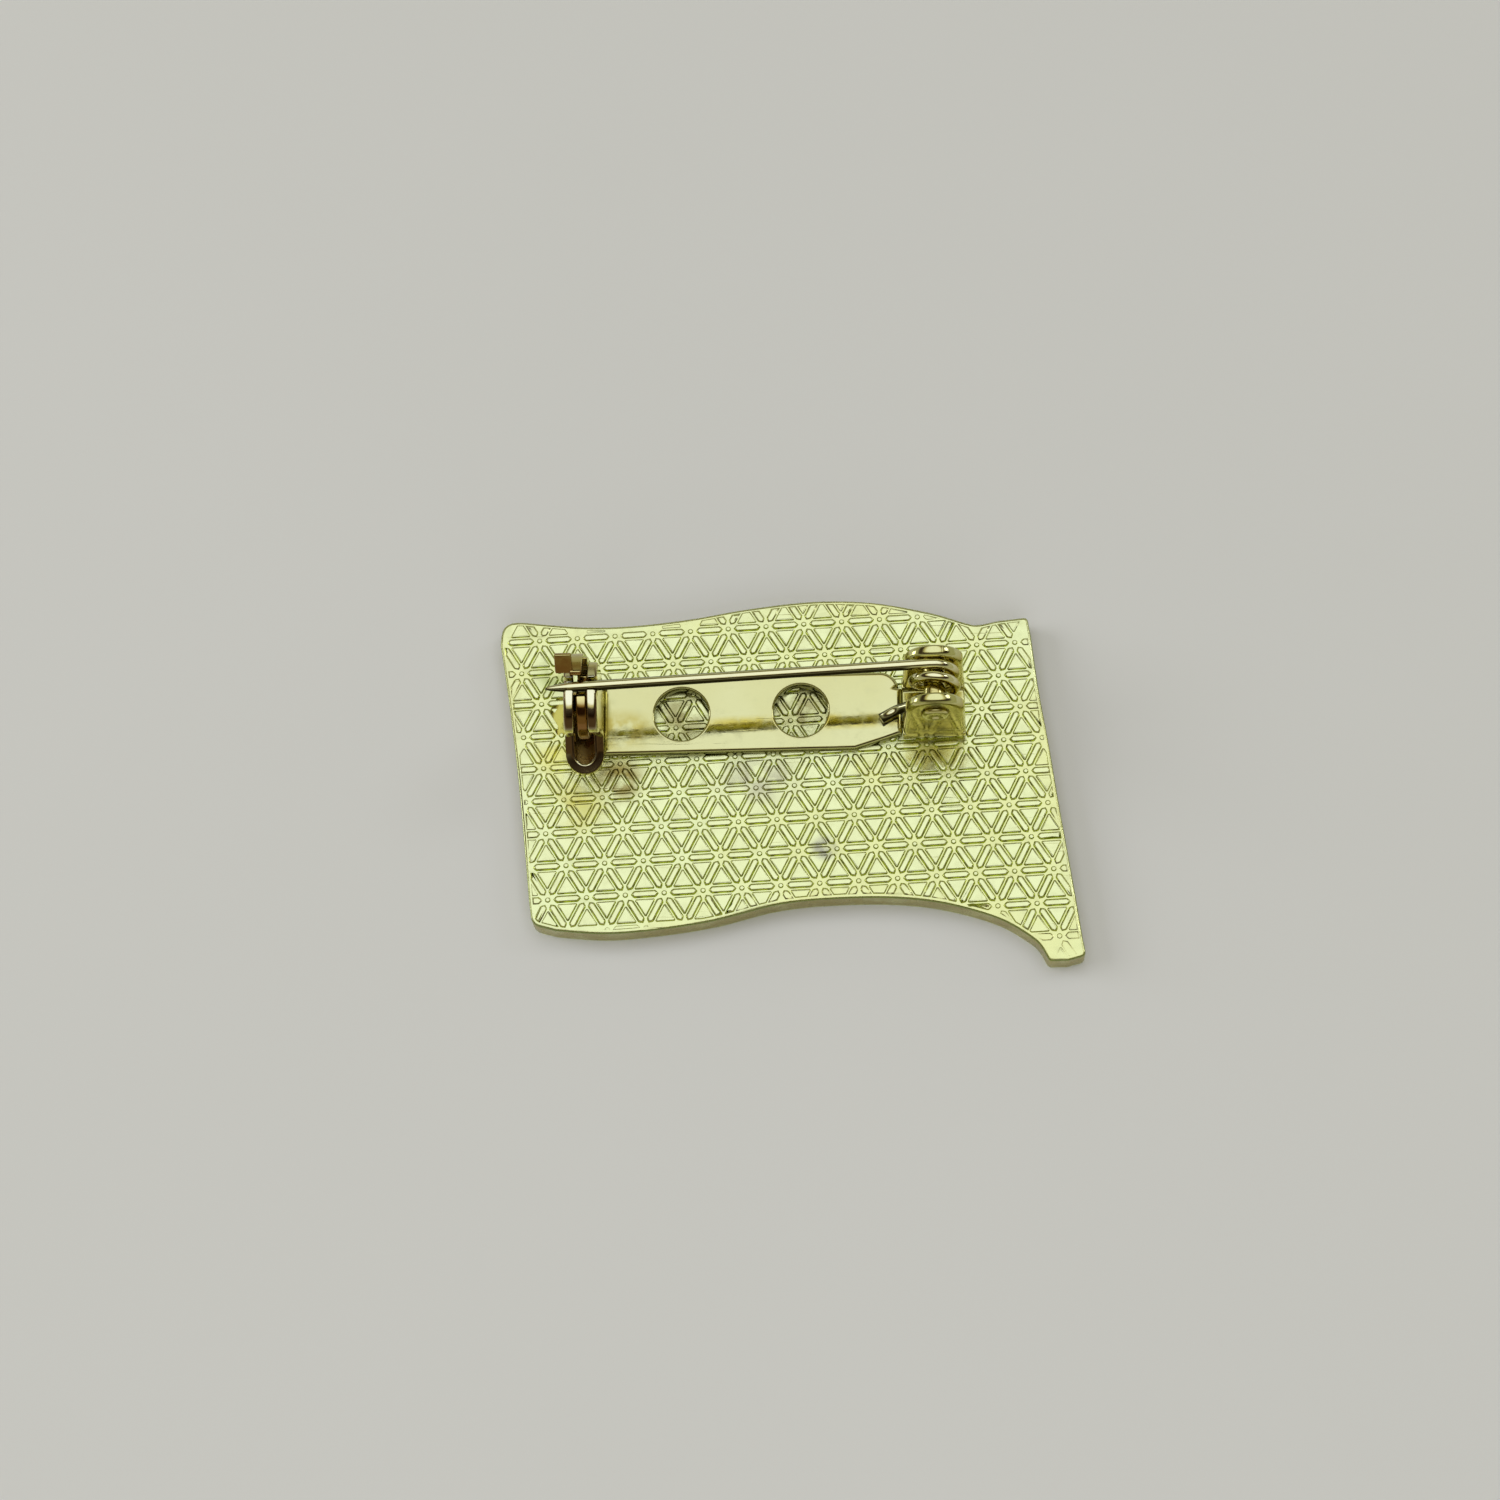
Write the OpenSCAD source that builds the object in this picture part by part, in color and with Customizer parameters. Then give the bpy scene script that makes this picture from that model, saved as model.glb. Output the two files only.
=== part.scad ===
// Flag lapel pin, lying face down: a struck plate in the outline of a waving flag on its staff,
// with a bar pin soldered to its back.
// Millimetres. +X runs along the bar from the catch to the hinge, +Z is out of the plate's back.
// The origin is under the middle of the plate's outline, on the floor that the front rim rests on.

/* [Plate] */
// Thickness of the plate with its front rim and its back pattern
plate_t = 1.78; // [1.5:0.01:2.4]
// Height of the front rim and staff line
rim_h = 0.35; // [0.2:0.01:0.5]
// Width of the front rim and staff line
rim_w = 0.6; // [0.4:0.05:0.9]

/* [Pattern] */
// Height of the raised pattern on the back
relief_h = 0.12; // [0.05:0.01:0.2]
// Distance between two points of the pattern along a row
pitch = 2.4; // [2.2:0.05:3.2]
// Distance between two rows
row_gap = 2.153; // [2:0.001:2.8]
// Turn of the rows against the bar, in degrees
pattern_turn = 2.3; // [-5:0.1:5]
// Width of the pattern's short bars
stroke_w = 0.42; // [0.3:0.01:0.6]
// Least distance of the pattern from the plate's edge
pattern_margin = 0.75; // [0.5:0.05:1.5]

/* [Pin bar] */
// Thickness of the bar
bar_t = 0.65; // [0.5:0.05:1]
// Width of the bar
bar_w = 5; // [4:0.1:6]
// Place of the bar's middle line across the plate
bar_y = 4.33; // [3:0.01:6]
// Diameter of the bar's two holes
bar_hole_d = 3.4; // [2:0.1:4]

/* [Hinge] */
// Place of the hinge rivet along the bar
hinge_x = 9.3; // [8:0.1:10]
// Height of the rivet over the plate's back
hinge_up = 4.7; // [4:0.05:5]
// Outer radius of an ear
ear_r = 1.8; // [1.5:0.05:2]
// Thickness of an ear
ear_t = 0.7; // [0.5:0.05:0.8]
// Distance between the ears
ear_gap = 2.4; // [2.2:0.05:3]
// Diameter of the rivet's shank
rivet_d = 1.3; // [1:0.05:1.5]
// Diameter of the rivet's rolled heads
rivet_head_d = 1.7; // [1.5:0.05:2.2]

/* [Pin] */
// Diameter of the pin's wire
wire_d = 0.64; // [0.5:0.01:0.8]
// Middle radius of the coil
coil_r = 1.28; // [1.1:0.01:1.35]
// Step of the coil along the rivet, for each turn
coil_step = 0.84; // [0.7:0.01:1]
// Place of the pin's tip along the bar
tip_x = -14.5; // [-15.5:0.1:-14]

/* [Catch] */
// Place of the catch's middle along the bar
catch_x = -12.36; // [-12.6:0.01:-12]
// Place of the latch's axis across the plate
catch_y = 3.97; // [3.8:0.01:4.1]
// Height of the latch's axis over the plate's back
catch_up = 3.85; // [3.8:0.05:3.9]
// Outer radius of the round head of the catch's two cheeks
catch_r = 2.55; // [2.5:0.01:2.6]
// Thickness of the catch's sheet
catch_t = 0.6; // [0.5:0.05:0.7]
// Diameter of the post that the latch turns on
post_d = 1.2; // [1:0.05:1.5]
// Angle that the latch turns from open to shut
latch_turn = 28; // [20:1:30]

/* [Hidden] */
$fn = 48;
back_z = plate_t;
field_z = plate_t - relief_h;
bar_z0 = field_z - 0.05;
bar_z = back_z + bar_t;
hinge_z = back_z + hinge_up;
catch_z = back_z + catch_up;
ear_x0 = hinge_x - 1.96;
ear_x1 = hinge_x + 1.96;
ear_mid = bar_y + 0.02;
near_ear_y = ear_mid - ear_gap / 2 - ear_t;
far_ear_y = ear_mid + ear_gap / 2;
coil_y = 5.2;
tail_angle = 139;
plate_in_x = catch_x + 0.46;
plate_lean = 3.5;
latch_t = 0.66;
needle_z = hinge_z + coil_r;

// Plate outline: the key points of each side, then the corners with their radii

top_keys = [
  [-16.58, 11.12], [-12.74, 10.69], [-9.62, 10.69], [-5.93, 11.04], [-2.31, 11.62], [1.89, 12.02],
  [5.63, 11.84], [9.28, 11.05], [11.5, 10.29], [12.3, 10.14], [13.49, 10.36], [14.2, 10.44]
];
right_keys = [[15.6, 9.2], [15.94, 5.56], [16.41, 2.01], [16.86, -1.88], [17.45, -6.5], [17.94, -10.6]];
bottom_keys = [
  [15.48, -11.24], [14.9, -10.56], [12.94, -9.29], [9.92, -8.29], [6.87, -7.81], [3.32, -7.73],
  [-0.49, -8.01], [-4.6, -8.98], [-8.37, -9.49], [-11.38, -9.65], [-14.3, -9.38]
];
left_keys = [[-16, -7.3], [-16.43, -2.66], [-16.91, 1.91], [-17.49, 6.28], [-18, 9.6]];
outline_keys = concat(
  side(top_keys), [[15.42, 10.56, 0.3]],
  side(right_keys), [[18.1, -11.72, 0.35], [17, -12.01, 0.4], [15.85, -12.01, 0.35]],
  side(bottom_keys), [[-15.8, -8.95, 0.8]],
  side(left_keys), [[-17.9, 11.15, 1]]
);

// One point of a smooth curve between b and c, with a before them and d after
function spline(a, b, c, d, t) =
  0.5 * (2 * b + (c - a) * t + (2 * a - 5 * b + 4 * c - d) * t * t + (3 * b - a - 3 * c + d) * t * t * t);

// A smooth side through its key points; the third number is a corner's radius, here none
function side(keys, steps = 3) = let (last = len(keys) - 1) [
  for (i = [0 : last - 1], s = [0 : steps - 1])
    let (p = spline(keys[max(i - 1, 0)], keys[i], keys[i + 1], keys[min(i + 2, last)], s / steps))
    [p.x, p.y, 0],
  [keys[last].x, keys[last].y, 0]
];

function flat(p) = [p.x, p.y];
function unit(v) = v / norm(v);

// The directions in which a closed line comes to its point i and leaves it
function comes(points, i) = unit(flat(points[i]) - flat(points[(i + len(points) - 1) % len(points)]));
function leaves(points, i) = unit(flat(points[(i + 1) % len(points)]) - flat(points[i]));

// The closed line moved inwards by d, its corners' radii made smaller
function inset(points, d) = [
  for (i = [0 : len(points) - 1])
    let (m = unit(comes(points, i) + leaves(points, i)), k = d / (m * comes(points, i)))
    [points[i].x + k * m.y, points[i].y - k * m.x, points[i].z == 0 ? 0 : max(points[i].z - d, 0.1)]
];

// The closed line with its corners rounded
function rounded(points) = [
  for (i = [0 : len(points) - 1])
    let (
      p = flat(points[i]),
      turn = acos(min(1, comes(points, i) * leaves(points, i))),
      back = points[i].z * tan(turn / 2),
      a = p - back * comes(points, i),
      b = p + back * leaves(points, i)
    )
    for (s = points[i].z == 0 ? [0] : [0, 1 / 3, 2 / 3, 1])
      (1 - s) * (1 - s) * a + 2 * s * (1 - s) * p + s * s * b
];

// Whether a point is inside a closed line
function inside(p, line) = len([
  for (i = [0 : len(line) - 1])
    let (a = line[i], b = line[(i + 1) % len(line)])
    if ((a.y > p.y) != (b.y > p.y) && p.x < a.x + (b.x - a.x) * (p.y - a.y) / (b.y - a.y)) 1
]) % 2 == 1;

// Pattern point number c of row r
function lattice(c, r) =
  let (x = pitch * (c + r / 2), y = -row_gap * r)
  [
    x * cos(pattern_turn) - y * sin(pattern_turn) + 6.594,
    x * sin(pattern_turn) + y * cos(pattern_turn) - 2.248
  ];

// The short bar between two pattern points, pointed at both ends
function stroke(a, b) =
  let (u = unit(b - a), v = [-u.y, u.x] * stroke_w / 2, tip = 0.36, shoulder = 0.58)
  [a + tip * u, a + shoulder * u + v, b - shoulder * u + v, b - tip * u, b - shoulder * u - v,
   a + shoulder * u - v];

// The small triangle in the middle of a cell
function wedge(a, b, c) = let (m = (a + b + c) / 3) [for (p = [a, b, c]) m + 0.51 * (p - m)];

module outline_face() {
  polygon(rounded(outline_keys));
}

module pattern_face() {
  limit = [for (p = inset(outline_keys, pattern_margin)) flat(p)];
  for (r = [-7 : 5], c = [-13 : 9]) {
    a = lattice(c, r);
    right = lattice(c + 1, r);
    low_right = lattice(c, r + 1);
    low_left = lattice(c - 1, r + 1);
    next_low = lattice(c + 1, r + 1);
    for (b = [right, low_right, low_left])
      if (inside(stroke(a, b)[0], limit) && inside(stroke(a, b)[3], limit)) polygon(stroke(a, b));
    for (w = [wedge(a, right, low_right), wedge(right, low_right, next_low)])
      if (inside(w[0], limit) && inside(w[1], limit) && inside(w[2], limit)) polygon(w);
    if (inside(a, limit)) translate(a) circle(r = 0.16, $fn = 6);
  }
}

module front_recess() {
  translate([0, 0, -1]) linear_extrude(rim_h + 1) difference() {
    polygon(rounded(inset(outline_keys, rim_w)));
    polygon([[12.3, 11], [12.3 + rim_w, 11], [15 + rim_w, -12], [15, -12]]);
  }
}

module struck_plate() {
  difference() {
    linear_extrude(field_z) outline_face();
    front_recess();
  }
  translate([0, 0, field_z - 0.05]) linear_extrude(relief_h + 0.05) pattern_face();
}

module bar_face() {
  near = bar_y - bar_w / 2;
  far = bar_y + bar_w / 2;
  difference() {
    polygon([
      [-11.3, near], [4.35, near], [7.16, 2.71], [7.16, 5.6], [6.95, 6.2], [6.55, 6.62], [6, far],
      [-11.3, far]
    ]);
    translate([-6.46, bar_y]) circle(d = bar_hole_d);
    translate([1.01, bar_y + 0.06]) circle(d = bar_hole_d);
  }
  translate([7, near_ear_y]) square([ear_x1 - 7, far_ear_y + ear_t - near_ear_y]);
}

module ear(y) {
  translate([hinge_x, y + ear_t, hinge_z]) rotate([90, 0, 0]) linear_extrude(ear_t) difference() {
    union() {
      circle(r = ear_r);
      polygon([
        [ear_x0 - hinge_x, bar_z0 - hinge_z], [ear_x1 - hinge_x, bar_z0 - hinge_z], [ear_r, 0], [-ear_r, 0]
      ]);
    }
    circle(d = rivet_d + 0.06);
  }
}

// One cheek of the catch, its face in the YZ plane: a round head on a neck, with a ramp down to the toe
module catch_cheek() {
  foot = bar_z0 - back_z;
  rotate([90, 0, 90]) linear_extrude(catch_t) difference() {
    polygon(concat(
      [for (a = [-48 : 9 : 150]) [catch_y + catch_r * cos(a), catch_up + catch_r * sin(a)]],
      [[1.8, 4.4], [2.81, 1.73], [1.83, 0.6], [1.83, foot], [6.25, foot], [6.2, 0.75]]
    ));
    translate([3.95, 5.62]) square([0.85, 2]);
  }
}

// The fold that joins the cheeks at the near side, its rim sloping outwards
module catch_toe() {
  top = back_z + 0.62;
  difference() {
    rotate_extrude() polygon([
      [1.2 - catch_t, bar_z0], [1.2, bar_z0], [1.2, top - 0.32], [0.75, top], [1.2 - catch_t, top]
    ]);
    translate([-3, 0, -1]) cube([6, 3, 6]);
  }
}

module catch_housing() {
  translate([plate_in_x, 0, back_z]) catch_cheek();
  translate([-13.72, 0, back_z]) rotate([0, plate_lean, 0]) catch_cheek();
  translate([-12.5, 1.85, 0]) catch_toe();
  translate([-13.3, 1.1, bar_z0]) cube([1.6, 5, back_z + 0.3 - bar_z0]);
  translate([-13.3, catch_y, catch_z]) rotate([0, 90, 0]) cylinder(d = post_d, h = 1.7);
}

module flag_plate() {
  color("darkkhaki") {
    struck_plate();
    translate([0, 0, bar_z0]) linear_extrude(bar_z - bar_z0) bar_face();
    ear(near_ear_y);
    ear(far_ear_y);
    catch_housing();
  }
}

module hinge_rivet() {
  head_t = 0.22;
  color("khaki") translate([hinge_x, 0, hinge_z]) rotate([-90, 0, 0]) {
    translate([0, 0, near_ear_y - 0.1]) cylinder(d = rivet_d, h = far_ear_y + ear_t - near_ear_y + 0.2);
    translate([0, 0, near_ear_y - 0.04 - head_t]) cylinder(d = rivet_head_d, h = head_t);
    translate([0, 0, far_ear_y + ear_t + 0.04]) cylinder(d = rivet_head_d, h = head_t);
  }
}

// The middle of the coil's wire after an angle, counted from where the needle ends
function coil_at(angle) =
  [hinge_x + coil_r * sin(angle), coil_y - coil_step * angle / 360, hinge_z + coil_r * cos(angle)];

// The ring of points round point i of a wire's path, its radius the point's fourth number
function ring(path, i, sides) =
  let (
    at = function(k) let (p = path[min(max(k, 0), len(path) - 1)]) [p.x, p.y, p.z],
    along = unit(at(i + 1) - at(i - 1)),
    out = unit(cross([0, 1, 0], along)),
    across = cross(along, out)
  )
  [
    for (k = [0 : sides - 1])
      at(i) + path[i][3] * (cos(360 * k / sides) * out + sin(360 * k / sides) * across)
  ];

module bent_wire(path, sides = 12) {
  last = len(path) - 1;
  polyhedron(
    [for (i = [0 : last], p = ring(path, i, sides)) p],
    concat(
      [[for (k = [0 : sides - 1]) k]],
      [
        for (i = [0 : last - 1], k = [0 : sides - 1])
          let (a = i * sides + k, b = i * sides + (k + 1) % sides)
          [b, a, a + sides, b + sides]
      ],
      [[for (k = [sides - 1 : -1 : 0]) last * sides + k]]
    )
  );
}

module pin_stem() {
  r = wire_d / 2;
  turn = 360 + tail_angle;
  slope = (coil_y - 4.37) / (hinge_x - catch_x);
  needle = function(x, r) [x, coil_y - slope * (hinge_x - x), needle_z, r];
  bar_top = bar_z + r + 0.02;
  color("gainsboro") bent_wire(concat(
    [needle(tip_x, 0.03), needle(tip_x + 0.4, 0.17), needle(tip_x + 1.4, r), needle(hinge_x - 0.4, r)],
    [for (angle = [8 : (turn - 8) / 34 : turn + 0.1]) concat(coil_at(angle), r)],
    [[7.3, 4.1, bar_top + 0.24, r], [7, 4.07, bar_top + 0.05, r]],
    [[6.7, 3.93, bar_top, r], [6, 3.55, bar_top, r]]
  ));
}

// The latch as it is when shut, seen from +X, its turning axis at the origin: a round rotor with an arm and
// a low seat for the pin, the strip that hooks over the pin, and the thumb tab
module shut_latch() {
  strip_in = 2.75;
  strip_out = 3.1;
  seat_r = 1.66;
  rotate([90, 0, 90]) {
    translate([0, 0, -0.26]) linear_extrude(latch_t) difference() {
      union() {
        circle(r = 2.2);
        polygon([for (a = [26 : 9 : 62]) 2.9 * [sin(a), cos(a)], [0, 0]]);
      }
      circle(d = post_d + 0.1);
      polygon(concat(
        [for (a = [-36 : 9 : 27]) seat_r * [sin(a), cos(a)]],
        [3.2 * [sin(27), cos(27)], 3.2 * [-sin(36), cos(36)]]
      ));
    }
    translate([0, 0, -0.59]) linear_extrude(0.75) polygon(concat(
      [for (a = [-10 : 6 : 50]) strip_out * [sin(a), cos(a)]],
      [for (a = [50 : -6 : -10]) strip_in * [sin(a), cos(a)]]
    ));
    translate([0, 0, -1.44]) linear_extrude(1.05)
      polygon([[-0.47, 2.85], [-0.18, 4.12], [0.11, 4.06], [-0.07, 2.91]]);
  }
}

module catch_latch() {
  color("goldenrod") translate([catch_x, catch_y, catch_z]) rotate([-latch_turn, 0, 0]) shut_latch();
}

flag_plate();
hinge_rivet();
pin_stem();
catch_latch();
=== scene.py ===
"""A flag lapel pin lying face down, seen from behind as in the photograph.

The CAD part gives the frame, the bodies and the main sizes. This script lays finer surfaces over it:
the struck back with its rolled edge and rounded pattern, the soft-edged sheet metal of the bar, hinge
and catch, the drawn wire of the pin, and the plated metal's wear, with shade, shadows and reflections
painted into the metal's colour in many places. Sizes are in millimetres in the row's frame and are turned
into metres where a mesh is made.
"""

import math

import bpy
import numpy as np
from mathutils import Matrix, Vector
from mathutils.geometry import delaunay_2d_cdt

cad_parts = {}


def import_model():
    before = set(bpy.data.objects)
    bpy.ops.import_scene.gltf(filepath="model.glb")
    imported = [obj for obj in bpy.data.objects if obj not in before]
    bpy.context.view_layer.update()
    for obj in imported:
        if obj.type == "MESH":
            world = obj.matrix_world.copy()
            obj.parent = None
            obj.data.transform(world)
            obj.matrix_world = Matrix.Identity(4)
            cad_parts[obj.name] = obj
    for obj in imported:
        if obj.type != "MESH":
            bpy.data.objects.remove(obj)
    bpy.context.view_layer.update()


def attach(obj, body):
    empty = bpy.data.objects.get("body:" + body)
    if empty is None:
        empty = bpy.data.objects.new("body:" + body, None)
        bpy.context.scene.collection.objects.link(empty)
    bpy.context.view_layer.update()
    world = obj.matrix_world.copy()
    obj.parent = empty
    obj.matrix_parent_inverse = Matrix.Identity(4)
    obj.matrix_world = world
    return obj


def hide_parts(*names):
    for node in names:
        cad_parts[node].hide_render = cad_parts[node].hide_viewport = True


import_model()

MM = 0.001
RANDOM = np.random.default_rng(7)

# The CAD part's driving sizes
PLATE_T = 1.78
RELIEF_H = 0.12
RIM_H = 0.35
RIM_W = 0.6
BAR_T = 0.65
BAR_W = 5.0
BAR_Y = 4.33
HOLE_R = 1.7
HOLES = [(-6.46, BAR_Y), (1.01, BAR_Y + 0.06)]
WIRE_R = 0.32
COIL_R = 1.28
COIL_STEP = 0.84
COIL_Y = 5.2
COIL_TURN = 360 + 139
TIP_X = -14.5
HINGE_X = 9.3
HINGE_Z = PLATE_T + 4.7
EAR_R = 1.8
EAR_T = 0.7
EAR_GAP = 2.4
EAR_HALF = 1.96
CATCH_X = -12.36
CATCH_Y = 3.97
CATCH_R = 2.55
CATCH_UP = 3.85
CATCH_T = 0.6
CATCH_Z = PLATE_T + CATCH_UP
CATCH_IN_X = CATCH_X + 0.46
CATCH_OUT_X = -13.72
CATCH_LEAN = math.radians(3.5)
LATCH_OPEN = math.radians(28)
FIELD_Z = PLATE_T - RELIEF_H
BAR_Z = PLATE_T + BAR_T
NEEDLE_Z = HINGE_Z + COIL_R
NEAR_EAR_Y = BAR_Y + 0.02 - EAR_GAP / 2 - EAR_T
FAR_EAR_Y = BAR_Y + 0.02 + EAR_GAP / 2
# Soldered pieces reach down to here, a little into the plate
ROOT_Z = FIELD_Z - 0.05

# Two places that lie up to 0.1 mm off the CAD part's: the bar's left end, and the needle at the catch
BAR_END_X = -11.35
NEEDLE_CATCH_Y = 4.28

# Key points of the plate's four sides; the corners between them follow in outline_keys
TOP_KEYS = [(-16.58, 11.12), (-12.74, 10.69), (-9.62, 10.69), (-5.93, 11.04), (-2.31, 11.62), (1.89, 12.02),
            (5.63, 11.84), (9.28, 11.05), (11.5, 10.29), (12.3, 10.14), (13.49, 10.36), (14.2, 10.44)]
RIGHT_KEYS = [(15.6, 9.2), (15.94, 5.56), (16.41, 2.01), (16.86, -1.88), (17.45, -6.5), (17.94, -10.6)]
BOTTOM_KEYS = [(15.48, -11.24), (14.9, -10.56), (12.94, -9.29), (9.92, -8.29), (6.87, -7.81), (3.32, -7.73),
               (-0.49, -8.01), (-4.6, -8.98), (-8.37, -9.49), (-11.38, -9.65), (-14.3, -9.38)]
LEFT_KEYS = [(-16, -7.3), (-16.43, -2.66), (-16.91, 1.91), (-17.49, 6.28), (-18, 9.6)]

# The plate's edge: the roll's width and depth on the back, and its radius on the front
BACK_ROLL = (0.16, 0.13)
FRONT_ROLL = 0.12

# The staff's line on the front: where its left side lies at the top and at the foot
STAFF_TOP_X = 12.34
STAFF_FOOT_X = 14.91

# Sheet metal's corners: the radius, and the turn in radians above which a corner gets it
SHEET_CORNER = 0.07
SHARP_TURN = 0.45

# The bar's top: the radius of its crown, and its lean to the near side
BAR_CROWN = 95.0
BAR_LEAN = 0.041

# The pool of solder beside the catch: middle, half sizes and height
SOLDER_POOL = (-14.15, 4.7, 0.62, 1.35, 0.15)

# The fold at the catch's near side: its middle, its middle radius and its tip
TOE_X = -12.5
TOE_Y = 1.85
TOE_R = 0.9
TOE_TIP_Y = 0.95

# The struck pattern; it stands a little higher than on the CAD plate, as its shoulders are rounded, and
# it comes nearer to the edge
PITCH = 2.4
ROW_GAP = 2.153
PATTERN_TURN = math.radians(2.3)
PATTERN_AT = np.array((6.594, -2.248))
PATTERN_ROWS = range(-8, 7)
PATTERN_COLUMNS = range(-14, 11)
PATTERN_MARGIN = 0.24
PLATE_REACH = 19
STROKE_W = 0.42
RAISED_H = 0.13
# A mark's shoulder: how far in, as a share of its softness, and how high, as a share of its height
SHOULDER = ((-0.2, -0.12), (-0.16, 0.03), (0.0, 0.26), (0.14, 0.62), (0.36, 0.9), (0.7, 0.985), (1.0, 1.0))


# Flat curves and loops ----

def unit(v):
    return v / np.linalg.norm(v)


def side(keys, steps=6):
    """A smooth side through its key points, each with no corner radius."""
    keys = np.array(keys, float)
    padded = np.vstack([keys[:1], keys, keys[-1:]])
    points = []
    for a, b, c, d in zip(padded, padded[1:], padded[2:], padded[3:]):
        for t in np.arange(steps) / steps:
            points.append(0.5 * (2 * b + (c - a) * t + (2 * a - 5 * b + 4 * c - d) * t * t
                                 + (3 * b - a - 3 * c + d) * t ** 3))
    points.append(keys[-1])
    return [(x, y, 0.0) for x, y in points]


def outline_keys():
    """The plate's outline, clockwise, its third column the radius of each corner."""
    return np.array(
        side(TOP_KEYS) + [(15.42, 10.56, 0.3)]
        + side(RIGHT_KEYS) + [(18.1, -11.72, 0.35), (17, -12.01, 0.4), (15.85, -12.01, 0.35)]
        + side(BOTTOM_KEYS) + [(-15.8, -8.95, 0.8)]
        + side(LEFT_KEYS) + [(-17.9, 11.15, 1)]
    )


def directions(points):
    """The directions in which a closed line comes to each of its points and leaves it."""
    ahead = np.roll(points, -1, 0) - points
    leaves = ahead / np.linalg.norm(ahead, axis=1)[:, None]
    return np.roll(leaves, 1, 0), leaves


def inset(points, d):
    """A clockwise closed line moved inwards by d; a third column holds corner radii and shrinks."""
    flat = points[:, :2]
    comes, leaves = directions(flat)
    middle = comes + leaves
    middle /= np.linalg.norm(middle, axis=1)[:, None]
    k = d / np.maximum((middle * comes).sum(1), 0.35)
    moved = flat + np.stack([middle[:, 1], -middle[:, 0]], 1) * k[:, None]
    if points.shape[1] == 2:
        return moved
    radii = np.where(points[:, 2] > 0, np.maximum(points[:, 2] - d, np.minimum(points[:, 2], 0.08)), 0)
    return np.column_stack([moved, radii])


def rounded(points, steps=6):
    """The closed line with its corners rounded, each by the same number of points."""
    flat = points[:, :2]
    comes, leaves = directions(flat)
    line = []
    for p, u, v, r in zip(flat, comes, leaves, points[:, 2]):
        if r == 0:
            line.append(p)
            continue
        back = r * math.tan(math.acos(min(1, u @ v)) / 2)
        a, b = p - back * u, p + back * v
        for s in np.linspace(0, 1, steps):
            line.append((1 - s) ** 2 * a + 2 * s * (1 - s) * p + s * s * b)
    return np.array(line)


def keyed(line):
    """A closed line with a small corner radius at each sharp turn."""
    comes, leaves = directions(line)
    turn = np.arccos(np.clip((comes * leaves).sum(1), -1, 1))
    ahead = np.linalg.norm(np.roll(line, -1, 0) - line, axis=1)
    room = 0.4 * np.minimum(ahead, np.roll(ahead, 1))
    radii = np.where(turn > SHARP_TURN, np.minimum(SHEET_CORNER, room / np.tan(np.maximum(turn, 0.1) / 2)), 0)
    return np.column_stack([line, radii])


def arc(cx, cy, r, start, end, steps):
    """Points of an arc, its angles in degrees from +x towards +y."""
    a = np.radians(np.linspace(start, end, steps))
    return [(cx + r * math.cos(t), cy + r * math.sin(t)) for t in a]


def turned(r, angle):
    """A point of a circle round the origin, its angle in degrees from +y towards +x."""
    return r * math.sin(math.radians(angle)), r * math.cos(math.radians(angle))


def doubled_area(loop):
    """Twice the area inside a closed line, below 0 where the line is clockwise."""
    ahead = np.roll(loop, -1, 0)
    return (loop[:, 0] * ahead[:, 1] - ahead[:, 0] * loop[:, 1]).sum()


def clockwise(loop):
    loop = np.array(loop, float)
    return loop if doubled_area(loop) < 0 else loop[::-1]


def within(p, line):
    """Whether each point of p is inside a closed line."""
    a, b = line, np.roll(line, -1, 0)
    p = np.atleast_2d(p)
    y = p[:, 1:2]
    spans = (a[:, 1] > y) != (b[:, 1] > y)
    with np.errstate(divide="ignore", invalid="ignore"):
        x = a[:, 0] + (b[:, 0] - a[:, 0]) * (y - a[:, 1]) / (b[:, 1] - a[:, 1])
    return (spans & (p[:, :1] < x)).sum(1) % 2 == 1


def edge_distance(p, line):
    """Distance from points to a closed line, with the nearest point of it."""
    a, b = line, np.roll(line, -1, 0)
    p = np.atleast_2d(p)[:, None]
    ab = b - a
    t = np.clip(((p - a) * ab).sum(2) / (ab * ab).sum(1), 0, 1)
    near = a + t[..., None] * ab
    gap = np.linalg.norm(p - near, axis=2)
    best = gap.argmin(1)
    rows = np.arange(len(best))
    return gap[rows, best], near[rows, best]


def fill(loops, inner=()):
    """Triangles that fill the area inside loops, by the even and odd rule, through inner points."""
    points, edges = [], []
    for loop in loops:
        start = len(points)
        points += [Vector((float(x), float(y))) for x, y in loop]
        edges += [(start + i, start + (i + 1) % len(loop)) for i in range(len(loop))]
    points += [Vector((float(x), float(y))) for x, y in inner]
    found, _, faces, *_ = delaunay_2d_cdt(points, edges, [], 0, 1e-6)
    found = np.array([tuple(p) for p in found])
    faces = np.array([tuple(f) for f in faces])
    middles = found[faces].mean(1)
    keep = np.zeros(len(faces), bool)
    for loop in loops:
        keep ^= within(middles, np.array(loop, float))
    return found, faces[keep]


# Meshes ----

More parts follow.
